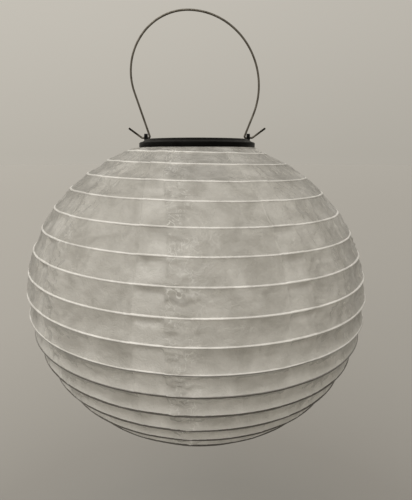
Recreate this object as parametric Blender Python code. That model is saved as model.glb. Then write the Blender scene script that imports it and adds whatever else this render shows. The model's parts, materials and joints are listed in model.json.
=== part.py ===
"""Solar fabric lantern, 308 mm across, with a wire handle, a solar cap and a hooped shade that folds flat.

The frame is the handle's: the origin is the point inside the loop, straight above the cap's middle, that
the lantern hangs from.
+Z is up and X runs through the two lugs that the handle turns in.
"""

from math import acos, atan2, ceil, cos, pi, radians, sin, sqrt, tan

import bmesh
import bpy
import numpy as np
from mathutils import Matrix, Vector

MM = 0.001
GAP = 0.3 * MM
OVERCUT = 1.0 * MM

# handle
WIRE_RADIUS = 0.9 * MM
HANDLE_SIDES = 8
LOOP_TOP_X = -7.5 * MM
LOOP_TOP_ABOVE_FLANGE = 113.9 * MM
LOOP_LEFT_RADIUS = 50.6 * MM
LOOP_RIGHT_RADIUS = 62.5 * MM
LOOP_STEP = radians(7)
HINGE_ABOVE_FLANGE = 8.3 * MM
LEG_FOOT_X = 42.6 * MM
TAIL_BEND_X = 50.2 * MM
TAIL_LENGTH = 14.0 * MM
TAIL_RISE = radians(36)
WIRE_BEND_RADIUS = 1.3 * MM

# levels
LOOP_FALL = LOOP_RIGHT_RADIUS - sqrt(LOOP_RIGHT_RADIUS**2 - LOOP_TOP_X**2)
LOOP_TOP_Z = WIRE_RADIUS + LOOP_FALL
FLANGE_Z = LOOP_TOP_Z - LOOP_TOP_ABOVE_FLANGE
HINGE_Z = FLANGE_Z + HINGE_ABOVE_FLANGE

# shade
SHADE_RADIUS = 154.0 * MM
SHADE_HALF_HEIGHT = 138.0 * MM
END_HOOP_RADIUS = 52.0 * MM
RIB_COUNT = 18
TOP_BAND_SHARES = (0.56, 1.04, 1.10, 1.0, 1.09, 1.05, 1.0, 1.0, 0.96, 1.0, 0.93, 0.97)
BOTTOM_BAND_SHARES = (0.92, 0.78)
RIB_TILT = radians(1.3)
RIB_SIDE = 1.2 * MM
END_HOOP_SIDE = 1.6 * MM
FABRIC_THICKNESS = 0.4 * MM
FABRIC_CLEARANCE = 1.2 * MM
SHADE_SEGMENTS = 32
TOP_HOOP_Z = FLANGE_Z - GAP - END_HOOP_SIDE / 2
END_HOOP_RISE = SHADE_HALF_HEIGHT * sqrt(1 - (END_HOOP_RADIUS / SHADE_RADIUS) ** 2)
EQUATOR_Z = TOP_HOOP_Z - END_HOOP_RISE
BOTTOM_HOOP_Z = EQUATOR_Z - END_HOOP_RISE

# cap: heights are above the flange's lower face
FLANGE_RADIUS = 52.4 * MM
CAP_SEGMENTS = 48
SMALL_HOLE_SEGMENTS = 10
CAP_TOP = 7.0 * MM
FLANGE_TOP = 3.3 * MM
SHOULDER = ((51.8, 4.0), (49.2, 4.8), (47.8, 5.8), (47.0, 6.6), (46.0, 7.0))
CAVITY_RADIUS = 44.0 * MM
CAVITY_TOP = 4.4 * MM
REBATE_TOP = 2.2 * MM
LUG_X = 46.5 * MM
LUG_THICKNESS = 2.8 * MM
LUG_HALF_WIDTH = 2.8 * MM
LUG_CENTRE = 9.2 * MM
LUG_ROOT = 3.0 * MM
LUG_ARC_STEPS = 8
LUG_HOLE_RADIUS = 1.15 * MM
LEAD_HOLE_RADIUS = 1.5 * MM
LEAD_HOLE_Y = 22.0 * MM
PANEL_POCKET = 60.0 * MM
POCKET_FLOOR = 5.4 * MM
CELL_SIDE = 56.0 * MM
CELL_TOP = 6.2 * MM
COVER_TOP = 7.1 * MM

# base plate and its pod: the pod hangs below the flange
BASE_RADIUS = 50.1 * MM
BASE_TOP = 1.9 * MM
POD_X = 29.0 * MM
POD_BACK_Y = 14.0 * MM
POD_FRONT_Y = -18.5 * MM
POD_WALL = 1.5 * MM
POD_FLOOR = -14.0 * MM
POD_UNDERSIDE = -16.4 * MM
SCREW_CIRCLE = 47.2 * MM
SCREW_ANGLES = (90, 210, 330)
SCREW_HOLE_RADIUS = 1.4 * MM
SCREW_HOLE_TOP = 4.1 * MM
SCREW_RADIUS = 1.1 * MM
SCREW_HEAD_RADIUS = 2.4 * MM
SCREW_RECESS = (1.3 * MM, 0.25 * MM)
SCREW_RECESS_TOP = -0.9 * MM
CLIP_ANGLES = (30, 150, 270)
CLIP_HALF_WIDTH = 2.5 * MM
CLIP_OUTLINE = ((48.4, 0.6), (48.4, -3.2), (52.2, -3.2), (52.2, -2.3), (49.6, -2.3), (49.6, 0.6))

# battery, light and switch
BATTERY_RADIUS = 5.1 * MM
BATTERY_AXIS_Y = -9.8 * MM
BATTERY_AXIS_Z = -8.0 * MM
BATTERY_LEFT = -18.8 * MM
BATTERY_RIGHT = 25.2 * MM
BATTERY_BUTTON_RADIUS = 1.9 * MM
BATTERY_BUTTON_HEIGHT = 1.2 * MM
CONTACT_X = (26.7 * MM, 27.2 * MM)
CONTACT_HALF_SIDE = 4.0 * MM
SPRING_TURNS = 4
SPRING_STEPS = 10
SPRING_WIRE_RADIUS = 0.35 * MM
SPRING_RADII = (3.8 * MM, 2.2 * MM)
DOOR_HALF_X = 24.3 * MM
DOOR_BACK_Y = -4.3 * MM
DOOR_TOP = -14.3 * MM
TONGUE_WIDTH = 1.0 * MM
TONGUE_TOP = -15.0 * MM
TONGUE_UNDERSIDE = -15.6 * MM
SWITCH_X = 14.5 * MM
SWITCH_Y = 8.0 * MM
SWITCH_HALF_SIZE = (4.5 * MM, 2.5 * MM)
SWITCH_TRAVEL = 3.5 * MM
SWITCH_SLOT_X = (11.2 * MM, 17.8 * MM)
SWITCH_SLOT_HALF_WIDTH = 1.1 * MM
SWITCH_WELL_TOP = -11.5 * MM
STEM_HALF_WIDTH = 0.8 * MM
STEM_TOP = -11.9 * MM
KNOB_HALF_WIDTH = 1.6 * MM
KNOB_TOP = -16.7 * MM
KNOB_UNDERSIDE = -18.2 * MM
BOARD_HALF_X = 20.0 * MM
BOARD_Y = (-3.8 * MM, 12.0 * MM)
BOARD_TOP = -8.0 * MM
BOARD_UNDERSIDE = -9.2 * MM
LAMP_RADIUS = 2.5 * MM
LAMP_RIM_RADIUS = 2.9 * MM
LAMP_DOME_Z = -15.6 * MM
LAMP_DOME_STEPS = 5
DIFFUSER_RADIUS = 7.0 * MM
DIFFUSER_DEPTH = 9.0 * MM
DIFFUSER_WALL = 1.1 * MM
DIFFUSER_STEPS = 6

# expander
LEG_X = 42.0 * MM
LEG_TOP_Z = FLANGE_Z + 1.2 * MM
KNEE_RISE = 9.0 * MM
FOOT_RISE = 5.0 * MM
EXPANDER_BEND_RADIUS = 1.9 * MM
EXPANDER_RADIUS = 0.9 * MM
EXPANDER_BAR_X = 53.3 * MM
EXPANDER_BAR_Z = BOTTOM_HOOP_Z + END_HOOP_SIDE / 2 + GAP + EXPANDER_RADIUS


# materials: colour, roughness, metallic
FINISHES = {
    "steel": ((0.16, 0.15, 0.14), 0.35, 1.0),
    "rib_steel": ((0.45, 0.45, 0.45), 0.4, 1.0),
    "fabric": ((0.62, 0.60, 0.57), 0.7, 0.0),
    "black_plastic": ((0.012, 0.012, 0.012), 0.35, 0.0),
    "solar_blue": ((0.01, 0.015, 0.06), 0.25, 0.0),
    "clear_resin": ((0.5, 0.55, 0.6), 0.05, 0.0),
    "board_green": ((0.02, 0.12, 0.05), 0.5, 0.0),
    "cell_wrap": ((0.05, 0.25, 0.10), 0.4, 0.0),
    "nickel": ((0.6, 0.58, 0.54), 0.3, 1.0),
    "lamp_clear": ((0.9, 0.88, 0.75), 0.1, 0.0),
    "diffuser_white": ((0.85, 0.85, 0.82), 0.45, 0.0),
}


def material(name):
    """One Principled material for each object, in the named finish."""
    colour, roughness, metallic = FINISHES[name]
    made = bpy.data.materials.new(name)
    made.use_nodes = True
    shader = made.node_tree.nodes["Principled BSDF"]
    shader.inputs["Base Color"].default_value = (*colour, 1)
    shader.inputs["Roughness"].default_value = roughness
    shader.inputs["Metallic"].default_value = metallic
    return made


def finish_object(name, bm, finish, location=(0, 0, 0), smooth=True):
    """Turns a bmesh built about `location` into a named object with its origin there."""
    bmesh.ops.recalc_face_normals(bm, faces=bm.faces)
    mesh = bpy.data.meshes.new(name)
    bm.to_mesh(mesh)
    bm.free()
    if smooth:
        mesh.shade_smooth()
        mesh.set_sharp_from_angle(angle=radians(35))
    made = bpy.data.objects.new(name, mesh)
    made.location = location
    made.data.materials.append(material(finish))
    bpy.context.scene.collection.objects.link(made)
    return made


def tool(bm):
    """A hidden shape for Booleans."""
    made = finish_object("tool", bm, "black_plastic", smooth=False)
    made.hide_render = True
    made.display_type = "WIRE"
    return made


def boolean(target, bm, operation):
    """Adds a Boolean of the shape in bm to target; bm is in world coordinates."""
    modifier = target.modifiers.new(operation.lower(), "BOOLEAN")
    modifier.operation = operation
    modifier.solver = "EXACT"
    modifier.object = tool(bm)


def turned(profile, segments, centre=(0, 0, 0), turn=None, phase=0):
    """A closed outline of (radius, height) pairs, swept about Z. Points at radius 0 become poles."""
    bm = bmesh.new()
    rings = []
    for radius, height in profile:
        if radius == 0:
            rings.append([bm.verts.new((0, 0, height))])
            continue
        angles = [2 * pi * (k + phase) / segments for k in range(segments)]
        rings.append([bm.verts.new((radius * cos(a), radius * sin(a), height)) for a in angles])
    for one, two in zip(rings, rings[1:] + rings[:1]):
        if len(one) == len(two) == 1:
            continue
        for k in range(segments):
            upper = [one[k % len(one)], one[(k + 1) % len(one)]]
            lower = [two[(k + 1) % len(two)], two[k % len(two)]]
            bm.faces.new(list(dict.fromkeys(upper + lower)))
    if turn:
        bmesh.ops.transform(bm, matrix=turn, verts=bm.verts)
    bmesh.ops.translate(bm, vec=centre, verts=bm.verts)
    return bm


def rod(radius, start, end, segments=12):
    """A plain cylinder between two points on a line along X or Z."""
    start, end = Vector(start), Vector(end)
    length = (end - start).length
    outline = [(0, 0), (radius, 0), (radius, length), (0, length)]
    facing = (end - start).to_track_quat("Z", "X").to_matrix().to_4x4()
    return turned(outline, segments, start, facing, phase=0.5)


def block(low, high):
    """A box between two corners."""
    bm = bmesh.new()
    size = Vector(high) - Vector(low)
    middle = (Vector(high) + Vector(low)) / 2
    bmesh.ops.create_cube(bm, size=1, matrix=Matrix.Translation(middle) @ Matrix.Diagonal((*size, 1)))
    return bm


def prism(outline, low, high, place):
    """A flat outline pushed from low to high; place(a, b, depth) gives each corner's position."""
    bm = bmesh.new()
    near = [bm.verts.new(place(a, b, low)) for a, b in outline]
    far = [bm.verts.new(place(a, b, high)) for a, b in outline]
    bm.faces.new(near)
    bm.faces.new(far)
    for k in range(len(outline)):
        n = (k + 1) % len(outline)
        bm.faces.new([near[k], near[n], far[n], far[k]])
    return bm


def rounded(corners, radius, step=radians(24)):
    """The path through the corners, with each inner corner replaced by an arc."""
    points = [Vector(corners[0])]
    for before, corner, after in zip(corners, corners[1:], corners[2:]):
        corner = Vector(corner)
        back = (Vector(before) - corner).normalized()
        ahead = (Vector(after) - corner).normalized()
        opening = acos(max(-1, min(1, back.dot(ahead))))
        turn = pi - opening
        centre = corner + (back + ahead).normalized() * radius / sin(opening / 2)
        start = corner + back * radius / tan(opening / 2) - centre
        across = (ahead * radius / tan(opening / 2) + corner - centre) - start * cos(turn)
        across = across.normalized() * radius
        count = max(1, ceil(turn / step))
        for k in range(count + 1):
            angle = turn * k / count
            points.append(centre + start * cos(angle) + across * sin(angle))
    points.append(Vector(corners[-1]))
    return points


def tube(points, radius, sides, normal=(0, 1, 0)):
    """A round wire along points that lie in one plane, with flat ends."""
    bm = bmesh.new()
    normal = Vector(normal).normalized()
    rings = []
    for k, point in enumerate(points):
        before = points[max(k - 1, 0)]
        after = points[min(k + 1, len(points) - 1)]
        into = (point - before).normalized() if k else (after - point).normalized()
        out = (after - point).normalized() if k < len(points) - 1 else into
        along = (into + out).normalized()
        side = along.cross(normal).normalized()
        stretch = 1 / max(0.5, along.dot(into))
        ring = []
        for s in range(sides):
            angle = 2 * pi * (s + 0.5) / sides
            reach = side * radius * stretch * cos(angle) + normal * radius * sin(angle)
            ring.append(bm.verts.new(point + reach))
        rings.append(ring)
    for one, two in zip(rings, rings[1:]):
        for s in range(sides):
            n = (s + 1) % sides
            bm.faces.new([one[s], one[n], two[n], two[s]])
    bm.faces.new(rings[0])
    bm.faces.new(rings[-1])
    return bm


def above_flange(x, y, height):
    """A position given by its height above the flange's lower face."""
    return (x, y, FLANGE_Z + height)


def in_mm(points):
    return [(a * MM, b * MM) for a, b in points]


# handle ---------------------------------------------------------------------------------------


def leg(side):
    """One end of the handle: tail, straight run through the lug, and the leg up to where its arc begins.

    Also gives the arc's centre, its radius and the angle at which it begins.
    """
    radius = LOOP_RIGHT_RADIUS if side > 0 else LOOP_LEFT_RADIUS
    centre = Vector((LOOP_TOP_X, 0, LOOP_TOP_Z - radius))
    foot = Vector((side * LEG_FOOT_X, 0, HINGE_Z))
    reach = foot - centre
    touch = atan2(reach.z, reach.x) + side * acos(radius / reach.length)
    bend = Vector((side * TAIL_BEND_X, 0, HINGE_Z))
    tip = bend + Vector((side * cos(TAIL_RISE), 0, sin(TAIL_RISE))) * TAIL_LENGTH
    leg_top = centre + Vector((cos(touch), 0, sin(touch))) * radius
    return rounded([tip, bend, foot, leg_top], WIRE_BEND_RADIUS)[:-1], centre, radius, touch


def sweep(centre, radius, start, end):
    """Points on a circle in the handle's plane, at even steps from one angle to another."""
    count = ceil(abs(end - start) / LOOP_STEP)
    angles = [start + (end - start) * k / count for k in range(count + 1)]
    return [centre + Vector((cos(a), 0, sin(a))) * radius for a in angles]


def handle_path():
    """The right leg, a wide arc up to the loop's top, a tighter one down from it, and the left leg."""
    right, right_centre, right_radius, right_touch = leg(1)
    left, left_centre, left_radius, left_touch = leg(-1)
    rising = sweep(right_centre, right_radius, right_touch, pi / 2)
    falling = sweep(left_centre, left_radius, pi / 2, left_touch % (2 * pi))
    return right + rising + falling[1:] + left[::-1]


def make_handle():
    hinge = Vector((0, 0, HINGE_Z))
    bm = tube([p - hinge for p in handle_path()], WIRE_RADIUS, HANDLE_SIDES)
    finish_object("handle_wire", bm, "steel", hinge)


# shade ----------------------------------------------------------------------------------------


def hoop_circles():
    """(radius, z) of every hoop from the top one to the bottom one, spaced by arc length."""
    angle = np.linspace(0, pi, 8001)
    radius = SHADE_RADIUS * np.sin(angle)
    height = SHADE_HALF_HEIGHT * np.cos(angle)
    arc = np.concatenate([[0], np.cumsum(np.hypot(np.diff(radius), np.diff(height)))])
    start = np.interp(END_HOOP_RISE, height[::-1], arc[::-1])
    shares = np.ones(RIB_COUNT + 1)
    shares[: len(TOP_BAND_SHARES)] = TOP_BAND_SHARES
    shares[-len(BOTTOM_BAND_SHARES) :] = BOTTOM_BAND_SHARES
    stations = start + np.concatenate([[0], np.cumsum(shares)]) / shares.sum() * (arc[-1] - 2 * start)
    radii = np.interp(stations, arc, radius)
    heights = np.interp(stations, arc, height)
    return [(float(r), EQUATOR_Z + float(h)) for r, h in zip(radii, heights)]


def tilt_of(index):
    """The ribs hang slightly off level; the two end hoops stay level."""
    return 0 if index in (0, RIB_COUNT + 1) else tan(RIB_TILT)


def hoop(name, radius, z, side, slope, finish):
    """A hoop of square wire, lowered towards +X by its slope."""
    half = side / 2
    outline = [(radius - half, -half), (radius + half, -half), (radius + half, half), (radius - half, half)]
    bm = turned(outline, SHADE_SEGMENTS)
    for vertex in bm.verts:
        vertex.co.z -= vertex.co.x * slope
    finish_object(name, bm, finish, (0, 0, z))


def fabric_band(name, upper, lower, upper_slope, lower_slope):
    """The skin between two hoops, stopping just short of each."""
    top = Vector((upper[0], 0, upper[1]))
    bottom = Vector((lower[0], 0, lower[1]))
    along = (bottom - top).normalized()
    outward = Vector((-along.z, 0, along.x)) * FABRIC_THICKNESS / 2
    top += along * FABRIC_CLEARANCE
    bottom -= along * FABRIC_CLEARANCE
    corners = [top - outward, top + outward, bottom + outward, bottom - outward]
    bm = turned([(c.x, c.z - lower[1]) for c in corners], SHADE_SEGMENTS)
    for vertex in bm.verts:
        share = (vertex.co.z + lower[1] - bottom.z) / (top.z - bottom.z)
        vertex.co.z -= vertex.co.x * (lower_slope + (upper_slope - lower_slope) * share)
    finish_object(name, bm, "fabric", (0, 0, lower[1]))


def make_shade():
    circles = hoop_circles()
    last = RIB_COUNT + 1
    for index, (radius, z) in enumerate(circles):
        if index == 0:
            hoop("top_hoop", radius, z, END_HOOP_SIDE, 0, "rib_steel")
            continue
        if index == last:
            hoop("bottom_hoop", radius, z, END_HOOP_SIDE, 0, "rib_steel")
        else:
            hoop(f"rib_hoop_{index:02d}", radius, z, RIB_SIDE, tilt_of(index), "rib_steel")
        slopes = tilt_of(index - 1), tilt_of(index)
        fabric_band(f"shade_panel_{index:02d}", circles[index - 1], circles[index], *slopes)


# cap ------------------------------------------------------------------------------------------


def lug(side):
    """A post with a round top, on the cap's shoulder."""
    outline = [(-LUG_HALF_WIDTH, LUG_ROOT), (LUG_HALF_WIDTH, LUG_ROOT)]
    for k in range(LUG_ARC_STEPS + 1):
        angle = pi * k / LUG_ARC_STEPS
        outline.append((LUG_HALF_WIDTH * cos(angle), LUG_CENTRE + LUG_HALF_WIDTH * sin(angle)))
    inner = side * LUG_X - LUG_THICKNESS / 2
    return prism(outline, inner, inner + LUG_THICKNESS, lambda a, b, depth: above_flange(depth, a, b))


def make_housing():
    under = [
        (0, CAVITY_TOP),
        (CAVITY_RADIUS, CAVITY_TOP),
        (CAVITY_RADIUS, REBATE_TOP),
        (BASE_RADIUS + GAP, REBATE_TOP),
        (BASE_RADIUS + GAP, 0),
    ]
    outside = [(FLANGE_RADIUS, 0), (FLANGE_RADIUS, FLANGE_TOP)] + in_mm(SHOULDER) + [(0, CAP_TOP)]
    body = turned(under + outside, CAP_SEGMENTS, (0, 0, FLANGE_Z))
    housing = finish_object("cap_housing", body, "black_plastic")
    for side in (-1, 1):
        boolean(housing, lug(side), "UNION")
    bore_end = LUG_X + LUG_THICKNESS
    bore = rod(LUG_HOLE_RADIUS, (-bore_end, 0, HINGE_Z), (bore_end, 0, HINGE_Z))
    boolean(housing, bore, "DIFFERENCE")
    half = PANEL_POCKET / 2
    pocket = block(above_flange(-half, -half, POCKET_FLOOR), above_flange(half, half, CAP_TOP + OVERCUT))
    boolean(housing, pocket, "DIFFERENCE")
    bottom, top = CAVITY_TOP - OVERCUT, POCKET_FLOOR + OVERCUT
    lead_hole = rod(LEAD_HOLE_RADIUS, above_flange(0, LEAD_HOLE_Y, bottom), above_flange(0, LEAD_HOLE_Y, top))
    boolean(housing, lead_hole, "DIFFERENCE")
    for angle in SCREW_ANGLES:
        x, y = on_circle(SCREW_CIRCLE, angle)
        low = above_flange(x, y, REBATE_TOP - OVERCUT)
        hole = rod(SCREW_HOLE_RADIUS, low, above_flange(x, y, SCREW_HOLE_TOP), SMALL_HOLE_SEGMENTS)
        boolean(housing, hole, "DIFFERENCE")


def on_circle(radius, degrees):
    return radius * cos(radians(degrees)), radius * sin(radians(degrees))


def clip(degrees):
    """An L-shaped hook under the base that carries the top hoop."""
    width = CLIP_HALF_WIDTH
    bm = prism(in_mm(CLIP_OUTLINE), -width, width, lambda a, b, depth: above_flange(a, depth, b))
    bmesh.ops.rotate(bm, matrix=Matrix.Rotation(radians(degrees), 3, "Z"), verts=bm.verts)
    return bm


def make_base():
    profile = [(0, 0), (BASE_RADIUS, 0), (BASE_RADIUS, BASE_TOP), (0, BASE_TOP)]
    disc = turned(profile, CAP_SEGMENTS, (0, 0, FLANGE_Z), phase=0.5)
    base = finish_object("cap_base", disc, "black_plastic")
    inside_disc = BASE_TOP / 2
    pod = block(above_flange(-POD_X, POD_FRONT_Y, POD_UNDERSIDE), above_flange(POD_X, POD_BACK_Y, inside_disc))
    boolean(base, pod, "UNION")
    for angle in CLIP_ANGLES:
        boolean(base, clip(angle), "UNION")
    inner_x = POD_X - POD_WALL
    low = above_flange(-inner_x, POD_FRONT_Y + POD_WALL, POD_FLOOR)
    well = block(low, above_flange(inner_x, POD_BACK_Y - POD_WALL, BASE_TOP + OVERCUT))
    boolean(base, well, "DIFFERENCE")
    cut_for_door(base)
    below, inside = POD_UNDERSIDE - OVERCUT, POD_FLOOR + OVERCUT
    lamp_hole = rod(LAMP_RADIUS + GAP, above_flange(0, 0, below), above_flange(0, 0, inside))
    boolean(base, lamp_hole, "DIFFERENCE")
    boolean(base, switch_slot(below, inside), "DIFFERENCE")
    holes = [(*on_circle(SCREW_CIRCLE, angle), SCREW_HOLE_RADIUS) for angle in SCREW_ANGLES]
    holes += [(side * LEG_X, 0, EXPANDER_RADIUS + 1.5 * GAP) for side in (-1, 1)]
    for x, y, radius in holes:
        low, high = above_flange(x, y, -OVERCUT), above_flange(x, y, BASE_TOP + OVERCUT)
        boolean(base, rod(radius, low, high, SMALL_HOLE_SEGMENTS), "DIFFERENCE")


def cut_for_door(base):
    """The opening in the pod's floor, and the groove along each side of it for the door's tongues."""
    x, y = DOOR_HALF_X + GAP, DOOR_BACK_Y + GAP
    front = POD_FRONT_Y - OVERCUT
    below, inside = POD_UNDERSIDE - OVERCUT, POD_FLOOR + GAP
    boolean(base, block(above_flange(-x, front, below), above_flange(x, y, inside)), "DIFFERENCE")
    x += TONGUE_WIDTH
    groove = TONGUE_UNDERSIDE - GAP, TONGUE_TOP + GAP
    boolean(base, block(above_flange(-x, front, groove[0]), above_flange(x, y, groove[1])), "DIFFERENCE")


def switch_slot(bottom, top):
    low = above_flange(SWITCH_SLOT_X[0], SWITCH_Y - SWITCH_SLOT_HALF_WIDTH, bottom)
    return block(low, above_flange(SWITCH_SLOT_X[1], SWITCH_Y + SWITCH_SLOT_HALF_WIDTH, top))


def make_solar_panel():
    half = CELL_SIDE / 2
    cell = block(above_flange(-half, -half, POCKET_FLOOR + GAP), above_flange(half, half, CELL_TOP))
    finish_object("solar_cell", cell, "solar_blue", smooth=False)
    half = PANEL_POCKET / 2 - GAP
    cover = block(above_flange(-half, -half, CELL_TOP + GAP), above_flange(half, half, COVER_TOP))
    finish_object("panel_cover", cover, "clear_resin", smooth=False)


def make_screws():
    """Pan-head screws, with a cross recess, that hold the base to the housing."""
    shank = [(0, 3.6), (1.1, 3.2)]
    head = [(2.4, -1.0), (1.8, -1.5), (0, -1.6)]
    under_head = [(SCREW_RADIUS, -GAP), (SCREW_HEAD_RADIUS, -GAP)]
    profile = in_mm(shank) + under_head + in_mm(head)
    long, short = SCREW_RECESS
    for number, angle in enumerate(SCREW_ANGLES, 1):
        x, y = on_circle(SCREW_CIRCLE, angle)
        screw = finish_object(f"cap_screw_{number}", turned(profile, 12, above_flange(x, y, 0)), "nickel")
        for half_x, half_y in ((long, short), (short, long)):
            low = above_flange(x - half_x, y - half_y, SCREW_RECESS_TOP - OVERCUT)
            high = above_flange(x + half_x, y + half_y, SCREW_RECESS_TOP)
            boolean(screw, block(low, high), "DIFFERENCE")


def make_battery():
    """An AAA-size cell lying along X, between a coil spring and a contact plate."""
    middle = above_flange(0, BATTERY_AXIS_Y, BATTERY_AXIS_Z)
    lying = Matrix.Rotation(pi / 2, 4, "Y")
    button = BATTERY_RIGHT + BATTERY_BUTTON_HEIGHT
    profile = [
        (0, BATTERY_LEFT),
        (BATTERY_RADIUS, BATTERY_LEFT),
        (BATTERY_RADIUS, BATTERY_RIGHT),
        (BATTERY_BUTTON_RADIUS, BATTERY_RIGHT),
        (BATTERY_BUTTON_RADIUS, button),
        (0, button),
    ]
    finish_object("battery_cell", turned(profile, 20, middle, lying), "cell_wrap")
    y, z, half = BATTERY_AXIS_Y, BATTERY_AXIS_Z, CONTACT_HALF_SIDE
    plate = block(above_flange(CONTACT_X[0], y - half, z - half), above_flange(CONTACT_X[1], y + half, z + half))
    finish_object("battery_contact", plate, "nickel", smooth=False)


def make_spring():
    """A conical coil that presses the cell against the contact plate."""
    start = SPRING_WIRE_RADIUS - CONTACT_X[1]
    length = BATTERY_LEFT - GAP - SPRING_WIRE_RADIUS - start
    last = SPRING_TURNS * SPRING_STEPS
    across = Vector((1, 0, 0))
    rings = []
    bm = bmesh.new()
    for k in range(last + 1):
        angle = 2 * pi * k / SPRING_STEPS
        radius = SPRING_RADII[0] + (SPRING_RADII[1] - SPRING_RADII[0]) * k / last
        out = Vector((0, cos(angle), sin(angle)))
        centre = across * (start + length * k / last) + out * radius
        corners = ((out + across), (across - out), (-out - across), (out - across))
        rings.append([bm.verts.new(centre + c.normalized() * SPRING_WIRE_RADIUS) for c in corners])
    for one, two in zip(rings, rings[1:]):
        for s in range(4):
            n = (s + 1) % 4
            bm.faces.new([one[s], one[n], two[n], two[s]])
    bm.faces.new(rings[0])
    bm.faces.new(rings[-1])
    finish_object("battery_spring", bm, "nickel", above_flange(0, BATTERY_AXIS_Y, BATTERY_AXIS_Z))


def both_sides(right):
    """An outline closed with its mirror image."""
    return right + [(-a, b) for a, b in reversed(right)]


def make_door():
    """The battery door: a plate with a tongue along each side, which slides out of the pod's front."""
    x, tongue = DOOR_HALF_X, DOOR_HALF_X + TONGUE_WIDTH
    right = [
        (x, POD_UNDERSIDE),
        (x, TONGUE_UNDERSIDE),
        (tongue, TONGUE_UNDERSIDE),
        (tongue, TONGUE_TOP),
        (x, TONGUE_TOP),
        (x, DOOR_TOP),
    ]
    bm = prism(both_sides(right), POD_FRONT_Y, DOOR_BACK_Y, lambda a, b, depth: above_flange(a, depth, b))
    finish_object("battery_door", bm, "black_plastic", smooth=False)


def make_light():
    """The board, the lamp below it, and the domed cover over the lamp."""
    low = above_flange(-BOARD_HALF_X, BOARD_Y[0], BOARD_UNDERSIDE)
    board = block(low, above_flange(BOARD_HALF_X, BOARD_Y[1], BOARD_TOP))
    finish_object("circuit_board", board, "board_green", smooth=False)
    top = BOARD_UNDERSIDE - GAP
    rim_z = top - 1 * MM
    dome = [(0, LAMP_DOME_Z - LAMP_RADIUS)]
    for k in range(1, LAMP_DOME_STEPS + 1):
        angle = pi / 2 * k / LAMP_DOME_STEPS
        dome.append((LAMP_RADIUS * sin(angle), LAMP_DOME_Z - LAMP_RADIUS * cos(angle)))
    profile = dome + [(LAMP_RADIUS, rim_z), (LAMP_RIM_RADIUS, rim_z), (LAMP_RIM_RADIUS, top), (0, top)]
    finish_object("led_lamp", turned(profile, 16, (0, 0, FLANGE_Z)), "lamp_clear")
    shell = bowl(DIFFUSER_RADIUS, DIFFUSER_DEPTH)
    hollow = bowl(DIFFUSER_RADIUS - DIFFUSER_WALL, DIFFUSER_DEPTH - DIFFUSER_WALL)
    finish_object("led_diffuser", turned(shell + hollow[::-1], 20, (0, 0, FLANGE_Z)), "diffuser_white")


def bowl(radius, depth):
    """The outline of a bowl that hangs mouth up from just under the pod."""
    rim = POD_UNDERSIDE - GAP
    angles = [pi / 2 * k / DIFFUSER_STEPS for k in range(DIFFUSER_STEPS)]
    return [(radius * cos(a), rim - depth * sin(a)) for a in angles] + [(0, rim - depth)]


def make_switch():
    """A slide switch on the pod's floor. Its knob comes through the slot and travels along +X."""
    half_x, half_y = SWITCH_HALF_SIZE
    low = above_flange(SWITCH_X - half_x, SWITCH_Y - half_y, POD_FLOOR + GAP)
    body = block(low, above_flange(SWITCH_X + half_x, SWITCH_Y + half_y, BOARD_UNDERSIDE - GAP))
    switch = finish_object("switch_body", body, "black_plastic", smooth=False)
    boolean(switch, switch_slot(POD_FLOOR - OVERCUT, SWITCH_WELL_TOP), "DIFFERENCE")
    right = [
        (KNOB_HALF_WIDTH, KNOB_UNDERSIDE),
        (KNOB_HALF_WIDTH, KNOB_TOP),
        (STEM_HALF_WIDTH, KNOB_TOP),
        (STEM_HALF_WIDTH, STEM_TOP),
    ]
    clearance = GAP + 0.1 * MM
    start = SWITCH_SLOT_X[0] + clearance
    end = SWITCH_SLOT_X[1] - clearance - SWITCH_TRAVEL
    bm = prism(both_sides(right), start, end, lambda a, b, depth: above_flange(depth, SWITCH_Y + a, b))
    finish_object("switch_slider", bm, "black_plastic", smooth=False)


def make_expander():
    """One sprung wire: two legs in the base's sockets and a bar that bears on the bottom hoop."""
    right = [
        (LEG_X, 0, LEG_TOP_Z),
        (LEG_X, 0, EXPANDER_BAR_Z + KNEE_RISE),
        (EXPANDER_BAR_X, 0, EXPANDER_BAR_Z + FOOT_RISE),
        (EXPANDER_BAR_X, 0, EXPANDER_BAR_Z),
    ]
    left = [(-x, y, z) for x, y, z in reversed(right)]
    wire = tube(rounded(right + left, EXPANDER_BEND_RADIUS), EXPANDER_RADIUS, 8)
    finish_object("expander", wire, "steel")


def main():
    for leftover in list(bpy.data.objects):
        bpy.data.objects.remove(leftover)
    make_handle()
    make_shade()
    make_housing()
    make_base()
    make_solar_panel()
    make_screws()
    make_battery()
    make_spring()
    make_door()
    make_light()
    make_switch()
    make_expander()


main()
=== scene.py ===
"""A round folding garden lantern: a nylon shade on wire hoops, a solar cap and a wire handle."""

import json
from math import acos, atan2, ceil, cos, pi, radians, sin, sqrt, tan

import bmesh
import bpy
import numpy as np
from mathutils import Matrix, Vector, noise

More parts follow.
